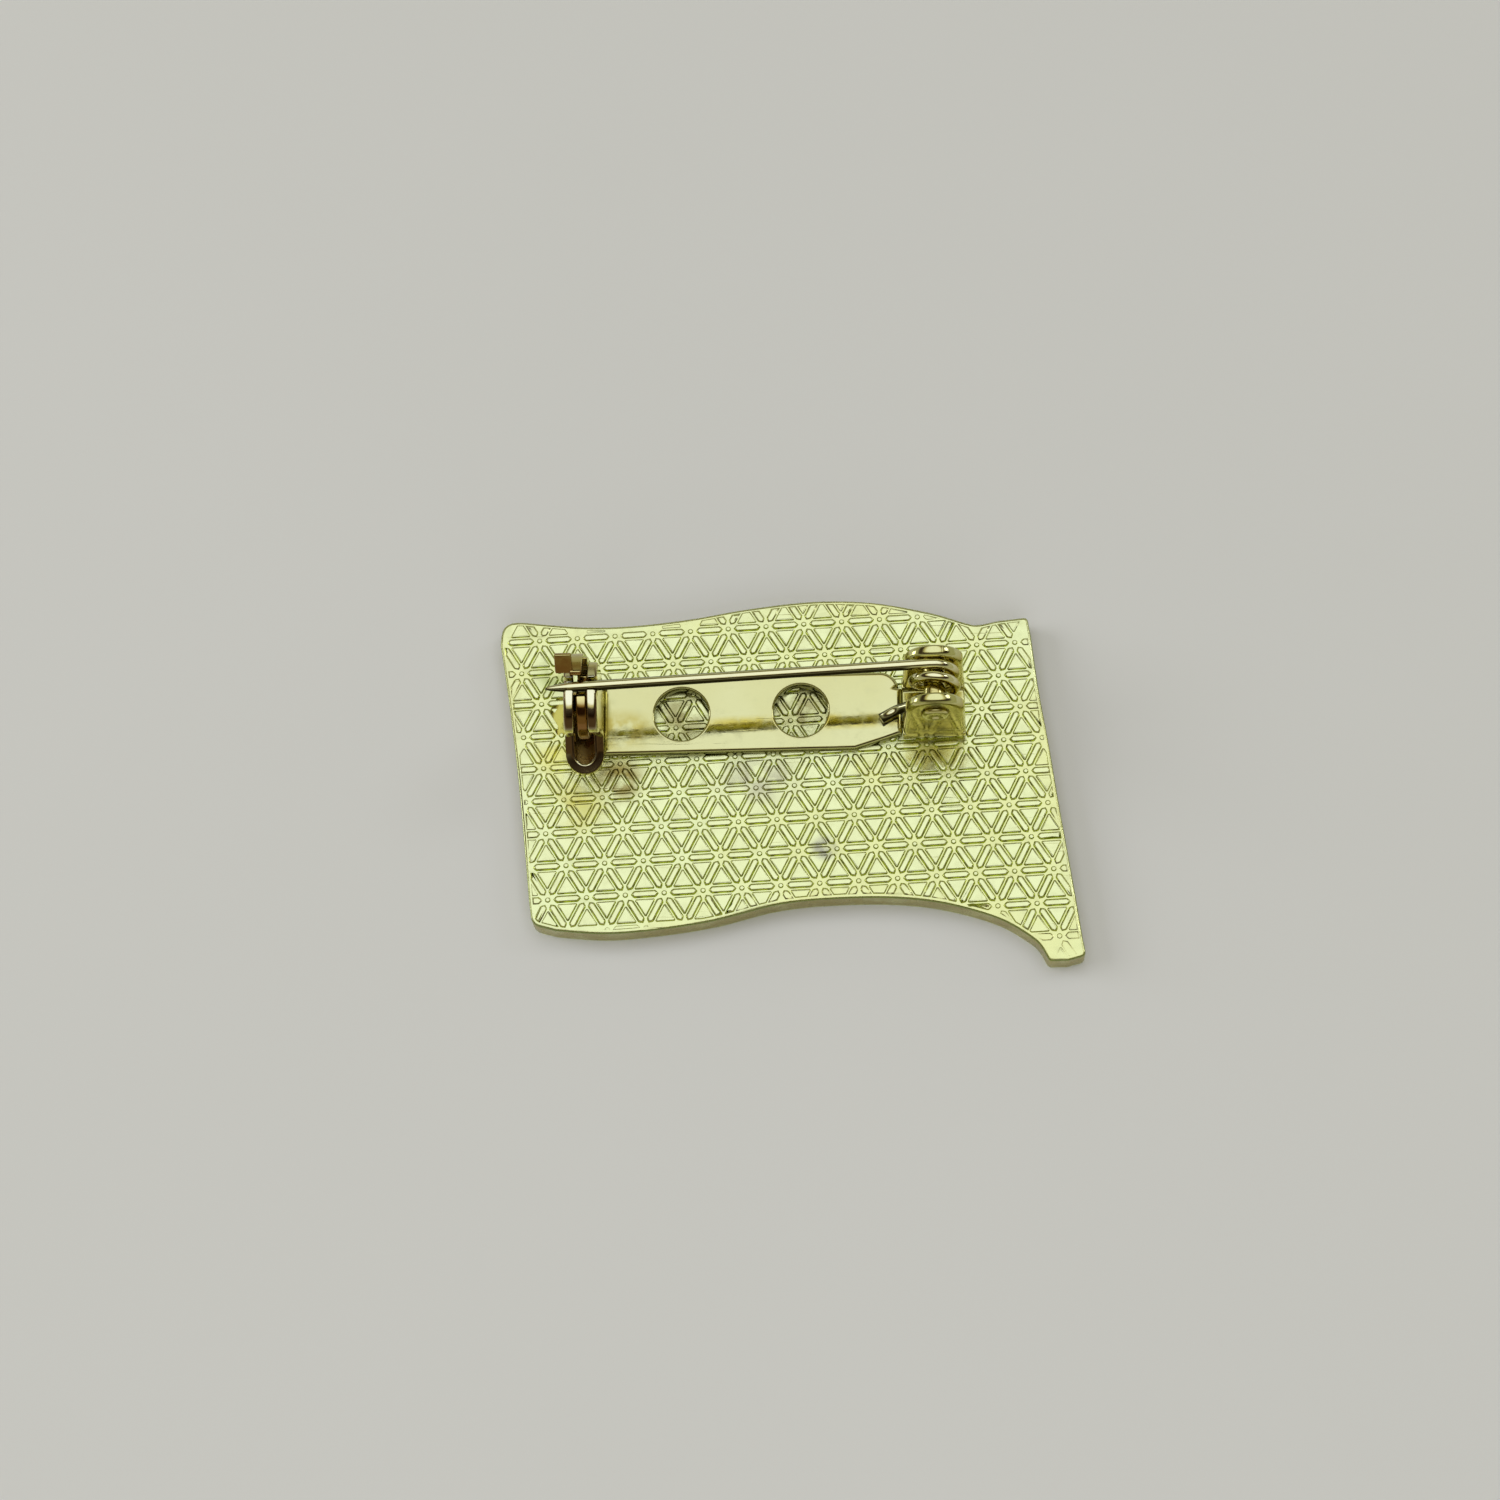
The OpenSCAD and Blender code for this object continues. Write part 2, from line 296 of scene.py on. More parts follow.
class Shape:
    """Collects points and faces in millimetres."""

    def __init__(self):
        self.points = []
        self.faces = []

    def add(self, points, faces):
        start = len(self.points)
        self.points.extend(tuple(map(float, p)) for p in points)
        self.faces.extend([start + i for i in f] for f in faces)

    def loft(self, rings, closed_first=False, closed_last=False):
        """Joins closed rings of equal length."""
        n = len(rings[0])
        faces = [
            [i * n + k, i * n + (k + 1) % n, (i + 1) * n + (k + 1) % n, (i + 1) * n + k]
            for i in range(len(rings) - 1) for k in range(n)
        ]
        if closed_first:
            faces.append(list(range(n - 1, -1, -1)))
        if closed_last:
            faces.append([(len(rings) - 1) * n + k for k in range(n)])
        self.add([p for ring in rings for p in ring], faces)

    def build(self, name, body, material, weighted=True):
        """The Blender piece, riding on its body."""
        mesh = bpy.data.meshes.new(name)
        mesh.from_pydata([tuple(c * MM for c in p) for p in self.points], [], self.faces)
        mesh.validate()
        mesh.update()
        mesh.shade_smooth()
        piece = bpy.data.objects.new(name, mesh)
        bpy.context.scene.collection.objects.link(piece)
        piece.data.materials.append(material)
        if weighted:
            modifier = piece.modifiers.new("normals", "WEIGHTED_NORMAL")
            modifier.weight = 80
        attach(piece, body)
        return piece


def slab(shape, outer, z0, z1, roll, holes=(), place=None, steps=5, inner=(), hole_roll=None):
    """A flat piece of sheet between z0 and z1 with rolled edges, each point of it then moved by place.

    roll is the edge's radius, or one for the low face and one for the high face, and steps the points of
    its curve; hole_roll is the holes' own radius. Both faces are filled through the inner points, so that
    place can bend them.
    """
    place = place or (lambda p: p)
    roll = roll if isinstance(roll, tuple) else (roll, roll)
    hole_roll = (hole_roll, hole_roll) if hole_roll else roll
    loops = [(keyed(clockwise(outer)), 1, roll)]
    loops += [(keyed(clockwise(h)), -1, hole_roll) for h in holes]
    bends = np.linspace(0, math.pi / 2, steps)
    for loop, way, (low, high) in loops:
        profile = [(low * (1 - math.sin(b)), z0 + low * (1 - math.cos(b))) for b in bends]
        profile += [(high * (1 - math.cos(b)), z1 - high * (1 - math.sin(b))) for b in bends]
        rings = [[place(Vector((x, y, z))) for x, y in rounded(inset(loop, d * way), 4)] for d, z in profile]
        shape.loft(rings if way == -1 else rings[::-1])
    for z, face, flip in ((z0, 0, True), (z1, 1, False)):
        caps = [rounded(inset(loop, rolls[face] * way), 4) for loop, way, rolls in loops]
        points = [p for p in inner if edge_distance(p, caps[0])[0][0] > 0.1 and within(p, caps[0])[0]
                  and all(edge_distance(p, h)[0][0] > 0.1 and not within(p, h)[0] for h in caps[1:])]
        found, faces = fill(caps, points)
        faces = faces[:, ::-1] if flip else faces
        shape.add([place(Vector((x, y, z))) for x, y in found], faces.tolist())


def sweep(shape, path, radii, sides=24):
    """A round wire along a path that never runs along Y."""
    path = np.array(path, float)
    along = np.gradient(path, axis=0)
    rings = []
    for p, t, r in zip(path, along, radii):
        t = unit(t)
        out = unit(np.cross((0, 1, 0), t))
        across = np.cross(t, out)
        angles = np.arange(sides) * 2 * math.pi / sides
        rings.append([p + r * (math.cos(a) * out + math.sin(a) * across) for a in angles])
    shape.loft(rings, closed_first=True, closed_last=True)


def lathe(shape, profile, place, sides=48):
    """A turned piece: profile holds (radius, height) pairs, place puts its axis."""
    rings = []
    for r, h in profile:
        angles = np.arange(sides) * 2 * math.pi / sides
        rings.append([place(Vector((r * math.cos(a), r * math.sin(a), h))) for a in angles])
    shape.loft(rings)


# The struck pattern ----

def lattice(c, r):
    """Pattern point number c of row r."""
    x, y = PITCH * (c + r / 2), -ROW_GAP * r
    cos, sin = math.cos(PATTERN_TURN), math.sin(PATTERN_TURN)
    return PATTERN_AT + (x * cos - y * sin, x * sin + y * cos)


def stroke(a, b):
    """The short bar between two pattern points, rounded at both ends."""
    u = unit(b - a)
    v = np.array((-u[1], u[0]))
    half, tip, ends = STROKE_W / 2, 0.37, []
    for p, way in ((a, 1), (b, -1)):
        for s in (-1, -0.72, 0, 0.72, 1):
            reach = tip + 0.2 * abs(s) ** 1.6
            ends.append(p + way * (reach * u + s * half * v))
    return np.array(ends)


def wedge(a, b, c):
    """The small triangle in the middle of a cell, its corners cut."""
    middle = (a + b + c) / 3
    corners = [middle + 0.54 * (p - middle) for p in (a, b, c)]
    points = []
    for i in range(3):
        for other in (corners[i - 1], corners[(i + 1) % 3]):
            points.append(corners[i] + 0.07 * (other - corners[i]))
    return np.array(points)


def dot(p, r=0.16, sides=10):
    """The small round mark at a pattern point."""
    return np.array([p + r * np.array((math.cos(t), math.sin(t)))
                     for t in np.arange(sides) * 2 * math.pi / sides])


def clip(poly, q, n):
    """The part of a convex polygon on n's side of the line through q."""
    kept = []
    gaps = (poly - q) @ n
    for i in range(len(poly)):
        j = (i + 1) % len(poly)
        if gaps[i] >= 0:
            kept.append(poly[i])
        if (gaps[i] >= 0) != (gaps[j] >= 0):
            kept.append(poly[i] + (poly[j] - poly[i]) * gaps[i] / (gaps[i] - gaps[j]))
    return np.array(kept)


def inside_line(poly, line, margin):
    """The convex polygon cut back until it is at least margin inside the line, or None if little is left."""
    least = 0.2 * abs(doubled_area(poly))
    for _ in range(6):
        if len(poly) < 3 or abs(doubled_area(poly)) < least:
            return None
        steps = np.arange(4)[:, None, None] / 4
        tested = (poly + steps * (np.roll(poly, -1, 0) - poly)).reshape(-1, 2)
        gap, near = edge_distance(tested, line)
        gap = np.where(within(tested, line), gap, -gap)
        worst = gap.argmin()
        if gap[worst] >= margin - 1e-3:
            return poly
        middle = poly.mean(0)
        out = unit(near[worst] - tested[worst]) * (1 if gap[worst] > 0 else -1)
        if abs(gap[worst]) < 1e-6:
            out = unit(near[worst] - middle)
        poly = clip(poly, near[worst] - margin * out, -out)
    return None


def raised(shape, poly, height, soften):
    """A raised island on the plate's back with rounded shoulders."""
    poly = clockwise(poly)
    middle = poly.mean(0)
    rings = []
    for d, h in SHOULDER:
        ring = inset(poly, d * soften)
        way = ((ring - middle) * (poly - middle)).sum(1)
        ring = np.where(way[:, None] > 0, ring, middle)
        rings.append([(x, y, z + h * height) for (x, y), z in zip(ring, ground(ring))])
    shape.loft(rings[::-1], closed_first=True)


def ground(points):
    """Height of the plate's back between the raised marks: slightly uneven, as struck and polished."""
    x, y = np.asarray(points, float).T
    wave = np.sin(0.43 * x + 0.7 * np.sin(0.31 * y)) * np.cos(0.39 * y - 0.2 * x)
    ripple = np.sin(1.9 * x + 1.1 * y) * np.sin(1.3 * y - 2.3 * x + 0.8)
    return FIELD_Z + 0.012 * wave + 0.004 * ripple


def struck_height(middle, gap, reach, share):
    """Height of a mark: less near the edge, on the staff's foot and where little of the mark is left."""
    fade = min(1, 0.3 + gap / 1.9)
    if middle[0] > 13.5:
        fade *= min(1, max(0.3, (middle[1] + 11.6) / 2.4))
    return RAISED_H * share * fade * min(1, reach / 0.16) * (1 + 0.07 * RANDOM.standard_normal())


def relief(shape, line):
    """All the marks, with how soft each kind is and how high."""
    for r in PATTERN_ROWS:
        for c in PATTERN_COLUMNS:
            a, right = lattice(c, r), lattice(c + 1, r)
            low_right, low_left, next_low = lattice(c, r + 1), lattice(c - 1, r + 1), lattice(c + 1, r + 1)
            marks = [(stroke(a, b), 0.16, 1.0) for b in (right, low_right, low_left)]
            marks += [(wedge(*w), 0.1, 0.92) for w in ((a, right, low_right), (right, low_right, next_low))]
            marks.append((dot(a), 0.09, 0.75))
            for poly, soften, share in marks:
                if np.abs(poly.mean(0)).max() > PLATE_REACH:
                    continue
                poly = inside_line(poly, line, PATTERN_MARGIN)
                if poly is None:
                    continue
                middle = poly.mean(0)
                gap = edge_distance(middle, line)[0][0]
                reach = edge_distance(middle, poly)[0][0]
                height = struck_height(middle, gap, reach, share)
                if reach > 0.05:
                    raised(shape, poly, height, min(soften, 0.8 * reach))


# The pieces ----

def plate_shape():
    """The plate: rolled edge, uneven back with its relief, and the front's rim, recess and staff line."""
    shape = Shape()
    keys = outline_keys()
    width, depth = BACK_ROLL
    rings = []
    for b in np.radians((90, 66, 44, 22, 0)):
        rings.append((width * (1 - math.cos(b)), FIELD_Z - depth * (1 - math.sin(b))))
    for b in np.radians((0, 30, 60, 90)):
        rings.append((FRONT_ROLL * (1 - math.cos(b)), FRONT_ROLL * (1 - math.sin(b))))
    rings += [(RIM_W - 0.1, 0.0), (RIM_W - 0.03, 0.03), (RIM_W, 0.1), (RIM_W + 0.02, RIM_H)]
    lofted = []
    for i, (d, z) in enumerate(rings):
        ring = rounded(inset(keys, d))
        heights = ground(ring) if i == 0 else [z] * len(ring)
        lofted.append([(x, y, h) for (x, y), h in zip(ring, heights)])
    shape.loft(lofted)
    back = rounded(inset(keys, rings[0][0]))
    grid = [(x + (0.25 if j % 2 else 0), y) for j, y in enumerate(np.arange(-12, 12.2, 0.43))
            for x in np.arange(-18, 18.2, 0.5)]
    gap, _ = edge_distance(grid, back)
    grid = np.array(grid)[within(grid, back) & (gap > 0.25)]
    found, faces = fill([back], grid)
    shape.add([(x, y, z) for (x, y), z in zip(found, ground(found))], faces.tolist())
    front = rounded(inset(keys, RIM_W + 0.02))
    found, faces = fill([front])
    shape.add([(x, y, RIM_H) for x, y in found], faces[:, ::-1].tolist())
    staff = [(STAFF_TOP_X, 9.8), (STAFF_TOP_X + RIM_W, 9.8), (STAFF_FOOT_X + RIM_W, -10.2), (STAFF_FOOT_X, -10.2)]
    slab(shape, staff, 0.0, RIM_H + 0.1, 0.08)
    relief(shape, rounded(keys))
    return shape


def bar_shape():
    """The pin bar: its top leans a little to the near side and is crowned across."""
    shape = Shape()
    near, far = BAR_Y - BAR_W / 2, BAR_Y + BAR_W / 2
    outer = [(BAR_END_X, y) for y in np.arange(far, near, -0.25)]
    outer += [(BAR_END_X, near)] + [(x, near) for x in range(-11, 5)] + [(4.35, near), (5.8, 2.27), (7.1, 2.69)]
    outer += [(7.3, 2.72), (7.34, 5.7), (7.1, 5.75)]
    outer += arc(5.96, 5.63, 1.2, 8, 90, 10) + [(x, far) for x in range(5, -12, -1)]
    holes = [arc(x, y, HOLE_R, 0, 352.5, 48) for x, y in HOLES]
    inner = [(x, y) for x in np.arange(-11.2, 7.2, 0.4) for y in np.arange(near, far, 0.25)]

    def crowned(p):
        drop = (p.y - BAR_Y) ** 2 / (2 * BAR_CROWN) + BAR_LEAN * (far - p.y)
        return Vector((p.x, p.y, p.z - drop * (p.z - ROOT_Z) / (BAR_Z - ROOT_Z)))

    slab(shape, outer, ROOT_Z, BAR_Z + 0.1, (0.02, 0.3), holes, crowned, 7, inner, 0.18)
    return shape


def ears_shape():
    """The hinge bracket: one strip bent up at both sides, with its rounded bends at the foot."""
    shape = Shape()
    foot = 0.95 + FIELD_Z - HINGE_Z
    outer = arc(0, 0, EAR_R, -4, 184, 36)
    outer += [(-1.93, foot), (-EAR_HALF, foot - 0.3), (EAR_HALF, foot - 0.3), (1.93, foot)]
    hole = arc(0, 0, 0.68, 0, 345, 24)
    for y in (NEAR_EAR_Y, FAR_EAR_Y):
        slab(shape, outer, 0, EAR_T, (0.14, 0.3), [hole],
             lambda p: Vector((HINGE_X + p.x, y + EAR_T - p.z, HINGE_Z + p.y)))

    def bend(y, z, r, start, end, steps):
        return [(a, b + ROOT_Z) for a, b in arc(y, z, r, start, end, steps)]

    outer_r, inner_r, leg_top = 0.72, 0.2, ROOT_Z + 1.1
    section = [(NEAR_EAR_Y, leg_top)]
    section += bend(NEAR_EAR_Y + outer_r, outer_r, outer_r, 180, 270, 9)
    section += bend(FAR_EAR_Y + EAR_T - outer_r, outer_r, outer_r, 270, 360, 9)
    section += [(FAR_EAR_Y + EAR_T, leg_top), (FAR_EAR_Y, leg_top)]
    section += bend(FAR_EAR_Y - inner_r, 0.95, inner_r, 0, -90, 5)
    section += bend(NEAR_EAR_Y + EAR_T + inner_r, 0.95, inner_r, 270, 180, 5)
    section += [(NEAR_EAR_Y + EAR_T, leg_top)]
    slab(shape, section, -EAR_HALF, EAR_HALF, 0.12, [], lambda p: Vector((HINGE_X + p.z, p.x, p.y)))
    return shape


def catch_shape():
    """The catch's housing: two cheeks, each a round head on a neck, and the fold at the near side."""
    shape = Shape()
    low = ROOT_Z - PLATE_T
    notch_floor = 5.62
    outer = [(3.95, notch_floor), (4.8, notch_floor)] + arc(CATCH_Y, CATCH_UP, CATCH_R, 71, -48, 34)
    outer += [(6.2, 0.75), (6.25, low), (2.6, low), (2.6, 1.2), (2.72, 1.5), (2.76, 1.8)]
    outer += [(2.7, 2.1), (1.88, 4.2), (1.8, 4.4), (1.74, 4.8)] + arc(CATCH_Y, CATCH_UP, CATCH_R, 150, 91, 22)
    cos, sin = math.cos(CATCH_LEAN), math.sin(CATCH_LEAN)
    slab(shape, outer, 0, CATCH_T, (0.07, 0.2), [], lambda p: Vector((CATCH_IN_X + p.z, p.x, PLATE_T + p.y)))
    slab(shape, outer, 0, CATCH_T, (0.2, 0.07), [], lambda p: Vector((
        CATCH_OUT_X + p.z * cos + p.y * sin, p.x, PLATE_T + p.y * cos - p.z * sin)))

    # The fold runs from the outer cheek round its tip to the inner one; wall is its section
    legs = (0.1, 0.3, 0.5, 0.7, 0.9, 0.97)
    path = [(0, back) for back in legs[::-1]] + [(a, 0) for a in np.linspace(0, 180, 44)]
    path += [(180, back) for back in legs]
    wall = [(0.6, -3), (0.6, -0.16)] + arc(0.73, -0.13, 0.13, 170, 72, 7)
    wall += [(0.8, -0.03), (0.87, -0.07), (0.94, -0.11), (1.02, -0.155), (1.1, -0.2), (1.16, -0.232),
             (1.185, -0.25), (1.2, -0.3), (1.2, -0.5), (1.2, -3)]
    rings = []
    for angle, back in path:
        c, k = math.cos(math.radians(angle)), math.sin(math.radians(angle))
        middle = TOE_Y + back - TOE_R * k
        top = PLATE_T + 0.5 + 0.44 * max(0, (middle - TOE_TIP_Y) / TOE_R) + 0.2 * back
        rings.append([(TOE_X - r * c, TOE_Y + back - r * k, max(top + z, ROOT_Z)) for r, z in wall])
    shape.loft(rings, closed_first=True, closed_last=True)
    return shape


def well_shape():
    """The floor between the cheeks, and the post that the latch turns on."""
    shape = Shape()
    left, right, near, far = -13.3, -11.7, 1.1, 6.1
    slab(shape, [(left, near), (right, near), (right, far), (left, far)], ROOT_Z, PLATE_T + 0.3, 0.05)
    post = [(0.0, 0.0), (0.6, 0.0), (0.6, 1.7), (0.0, 1.7)]
    lathe(shape, post, lambda p: Vector((left + p.z, CATCH_Y + p.x, CATCH_Z + p.y)), 32)
    return shape


def solder_shape():
    """The smooth pool of solder beside the catch."""
    shape = Shape()
    x, y, half_x, half_y, height = SOLDER_POOL
    rings = []
    for s in (1.0, 0.93, 0.8, 0.6, 0.35, 0.1):
        ring = []
        for a in np.arange(40) * math.pi / 20:
            wobble = 1 + 0.1 * math.sin(3 * a + x) + 0.06 * math.sin(5 * a + y)
            ring.append((x + half_x * s * wobble * math.cos(a), y + half_y * s * wobble * math.sin(a),
                         FIELD_Z + height * (1 - s ** 3)))
        rings.append(ring)
    shape.loft(rings, closed_last=True)
    return shape


def rivet_shape():
    """The rivet: two rolled heads, and the shank that joins them."""
    shape = Shape()
    length = FAR_EAR_Y + EAR_T - NEAR_EAR_Y
    head = [(0.0, 0.1), (0.2, 0.09), (0.34, 0.13), (0.44, 0.21), (0.56, 0.25), (0.7, 0.22), (0.8, 0.13),
            (0.84, 0.0), (0.65, 0.0)]
    shank = [(0.65, 0.0), (0.65, -length / 2)]
    for y, way in ((NEAR_EAR_Y - 0.02, -1), (FAR_EAR_Y + EAR_T + 0.02, 1)):
        lathe(shape, head + shank, lambda p: Vector((HINGE_X + p.x * way, y + way * p.z, HINGE_Z + p.y)))
    return shape


def stem_shape():
    """The pin's wire: its tapered tip, the needle, the coil, and the tail that bends down to the bar."""
    shape = Shape()
    slope = (COIL_Y - NEEDLE_CATCH_Y) / (HINGE_X - CATCH_X)

    def needle(x):
        return x, COIL_Y - slope * (HINGE_X - x), NEEDLE_Z

    path, radii = [], []
    for s in np.linspace(0, 1, 14) ** 1.5:
        path.append(needle(TIP_X + 1.5 * s))
        radii.append(0.02 + (WIRE_R - 0.02) * s ** 0.55)
    path += [needle(x) for x in np.linspace(TIP_X + 2.1, HINGE_X - 0.35, 30)]
    for angle in np.radians(np.linspace(6, COIL_TURN, 90)):
        path.append((HINGE_X + COIL_R * math.sin(angle), COIL_Y - COIL_STEP * math.degrees(angle) / 360,
                     HINGE_Z + COIL_R * math.cos(angle)))
    on_bar = BAR_Z + WIRE_R + 0.02
    last = np.array(path[-1])
    bend = np.array((7.0, 4.1, on_bar + 0.02))
    for s in np.linspace(0.12, 0.88, 8):
        path.append(last + s * (bend - last))
    end = np.array((6.0, 3.55, on_bar))
    start = np.array(path[-1])
    for s in np.linspace(0.12, 1, 8):
        path.append((1 - s) ** 2 * start + 2 * s * (1 - s) * bend + s * s * (bend + 0.3 * (end - bend)))
    path.append(end)
    radii += [WIRE_R] * (len(path) - len(radii))
    sweep(shape, path, radii)
    return shape


def latch_shape():
    """The latch in its open place, turned back about its post from the shut one."""
    shape = Shape()
    cos, sin = math.cos(LATCH_OPEN), math.sin(LATCH_OPEN)

    def place(p):
        return Vector((CATCH_X + p.z, CATCH_Y + p.x * cos + p.y * sin, CATCH_Z - p.x * sin + p.y * cos))

    rotor = [turned(2.2, a) for a in np.linspace(27, 324, 50)]
    seat = [turned(1.66, a) for a in range(-36, 28, 7)]
    bore = arc(0, 0, 0.65, 0, 345, 24)
    slab(shape, rotor + seat, -0.26, 0.4, 0.12, [bore], place)
    arm = [turned(0.8, a) for a in (62, 27)] + [turned(2.9, a) for a in range(27, 64, 4)]
    slab(shape, arm, -0.26, 0.4, 0.06, [], place)
    hook = [turned(3.1, a) for a in range(-10, 51, 3)] + [turned(2.75, a) for a in range(50, -11, -3)]
    slab(shape, hook, -0.59, 0.16, 0.09, [], place)
    tab = [(-0.47, 2.85), (-0.36, 3.3), (-0.18, 4.12), (0.11, 4.06), (0.0, 3.3), (-0.07, 2.91)]
    slab(shape, tab, -1.44, -0.39, 0.08, [], place)
    return shape


# Materials ----

class Nodes:
    """A short way to write a node tree."""

    def __init__(self, tree):
        self.tree = tree

    def feed(self, socket, value):
        """Links a socket to another one, or gives it a plain value."""
        if isinstance(value, bpy.types.NodeSocket):
            self.tree.links.new(value, socket)
        else:
            socket.default_value = value

    def node(self, kind, inputs=None, **settings):
        node = self.tree.nodes.new("ShaderNode" + kind)
        for key, value in settings.items():
            setattr(node, key, value)
        for key, value in (inputs or {}).items():
            self.feed(node.inputs[key], value)
        return node

    def remap(self, value, low, high, to_low=0.0, to_high=1.0):
        return self.node("MapRange", {"Value": value, "From Min": low, "From Max": high, "To Min": to_low,
                                      "To Max": to_high}, interpolation_type="SMOOTHSTEP").outputs["Result"]

    def math(self, kind, *values):
        return self.node("Math", dict(enumerate(values)), operation=kind).outputs[0]

    def mix(self, fac, a, b):
        a, b = (c if isinstance(c, bpy.types.NodeSocket) else (*c, 1) for c in (a, b))
        return self.node("Mix", {"Factor": fac, 6: a, 7: b}, data_type="RGBA").outputs[2]


class Surface(Nodes):
    """A material whose marks are placed in millimetres in the row's frame."""

    def __init__(self, name):
        self.material = bpy.data.materials.new(name)
        self.material.use_nodes = True
        super().__init__(self.material.node_tree)
        self.shader = self.tree.nodes["Principled BSDF"]
        where = self.node("TexCoord").outputs
        self.place, self.way = where["Object"], where["Normal"]

    def set(self, name, value):
        self.feed(self.shader.inputs[name], value)

    def noise(self, size, detail, stretch=(1, 1, 1), roughness=0.55, shift=0.0):
        """Noise with marks about size millimetres across."""
        at = self.node("Mapping", {"Vector": self.place, "Scale": stretch, "Location": (shift, shift, 0)})
        return self.node("TexNoise", {"Vector": at.outputs[0], "Scale": 0.5 / (size * MM), "Detail": detail,
                                      "Roughness": roughness}).outputs["Fac"]

    def blotch(self, x, y, r, stretch=(1, 1)):
        """1 at a place on the plate, falling to 0 at radius r."""
        at = self.node("Mapping", {"Vector": self.place, "Location": (-x * MM * stretch[0], -y * MM * stretch[1], 0),
                                   "Scale": (stretch[0], stretch[1], 0)})
        length = self.node("VectorMath", {0: at.outputs[0]}, operation="LENGTH").outputs["Value"]
        return self.remap(length, 0.0, r * MM, 1.0, 0.0)

    def stain_and_light_patch(self, tone, x, y, r, stretch, tint, share):
        """The tone with an uneven patch laid over it; such patches serve for stains and for painted shade and
        reflections.
        """
        edge = self.math("MULTIPLY", self.blotch(x, y, r, stretch),
                         self.remap(self.noise(0.8, 4, shift=0.02), 0.3, 0.6))
        return self.mix(self.math("MULTIPLY", edge, share), tone, tint)

    def height(self, low, high, axis="Z"):
        """0 below the height low, 1 above high, along the axis."""
        parts = self.node("SeparateXYZ", {0: self.place})
        return self.remap(parts.outputs[axis], low * MM, high * MM)

    def slope(self, low, high):
        """1 where the normal's share along Z is below low, falling to 0 at high."""
        parts = self.node("SeparateXYZ", {0: self.way})
        return self.remap(parts.outputs["Z"], low, high, 1.0, 0.0)


GOLD = (0.79, 0.86, 0.485)
DEEP_GOLD = (0.74, 0.74, 0.28)
GREY = (0.52, 0.52, 0.36)
WORN_TOP = (0.81, 0.87, 0.50)
# Painted shade: dark green on the steep sides of the raised marks
MARK_SIDE_SHADE = (0.62, 0.70, 0.13)
# Painted shade: the dark line along the back's rolled edge
EDGE_SHADE = (0.16, 0.22, 0.02)
# Painted shade: the plate's side wall made darker and browner
WALL_SHADE = (0.46, 0.40, 0.13)
# Painted shade: the plate darkened round and inside the bar's holes
HOLE_SHADE = (0.36, 0.34, 0.15)
# Painted reflection and shade: warm, darker patches on the plate beside the catch and in front of the hinge
WARM_REFLECTION = (0.64, 0.62, 0.19)
# Painted reflection: a yellow patch on the plate left of the catch
CATCH_REFLECTION = (0.78, 0.76, 0.22)
# Painted shadow: a dark brown patch on the plate right of the catch's near end
CATCH_SHADOW = (0.34, 0.29, 0.09)
DARK_GREY = (0.34, 0.34, 0.28)
DARK_GREEN = (0.35, 0.42, 0.12)
# Painted reflection: the needle's golden-brown image along the bar's top
NEEDLE_REFLECTION = (0.60, 0.52, 0.11)
# Painted shadow: a dark line across the bar's left end, at its gap to the catch
GAP_SHADOW = (0.16, 0.14, 0.04)
# Painted reflection: olive patches, of the catch on the bar's left end and of the plate on the catch's and latch's
# far sides
OLIVE_REFLECTION = (0.52, 0.46, 0.14)


def back_wear_and_shade(n, tone, colour, drift):
    """The plate's tone by height: worn tops, then painted shade: dark green on the steep sides of the marks, a
    darker side wall and a dark line on the rolled edge.
    """
    tone = n.mix(n.height(FIELD_Z + 0.05, PLATE_T - 0.01), tone, n.mix(drift, WORN_TOP, colour))
    # Painted shade on the marks' steep sides, just above the ground between them
    tone = n.mix(n.math("MULTIPLY", n.slope(0.6, 0.9), n.height(FIELD_Z - 0.02, FIELD_Z)), tone, MARK_SIDE_SHADE)
    # Painted shade on the side wall, made uneven by noise
    wall = n.math("SUBTRACT", n.height(0.1, 0.3), n.height(FIELD_Z - 0.2, FIELD_Z - 0.08))
    tone = n.mix(n.math("MULTIPLY", wall, n.remap(n.noise(0.7, 4), 0.2, 0.6, 0.5, 1.0)), tone, WALL_SHADE)
    # Painted shade: a dark line on the rolled edge between the back and the side wall
    edge = n.math("SUBTRACT", n.height(FIELD_Z - 0.2, FIELD_Z - 0.13), n.height(FIELD_Z - 0.06, FIELD_Z - 0.02))
    return n.mix(n.math("MULTIPLY", edge, 0.8), tone, EDGE_SHADE)


def flux_bumps(n):
    """Lumps of flux on the plate round the bar's holes."""
    near_holes = n.math("ADD", *[n.blotch(x, y, 2.3) for x, y in HOLES])
    return n.math("MULTIPLY", n.math("MULTIPLY", n.noise(0.42, 3, shift=0.05), near_holes), 7.0)


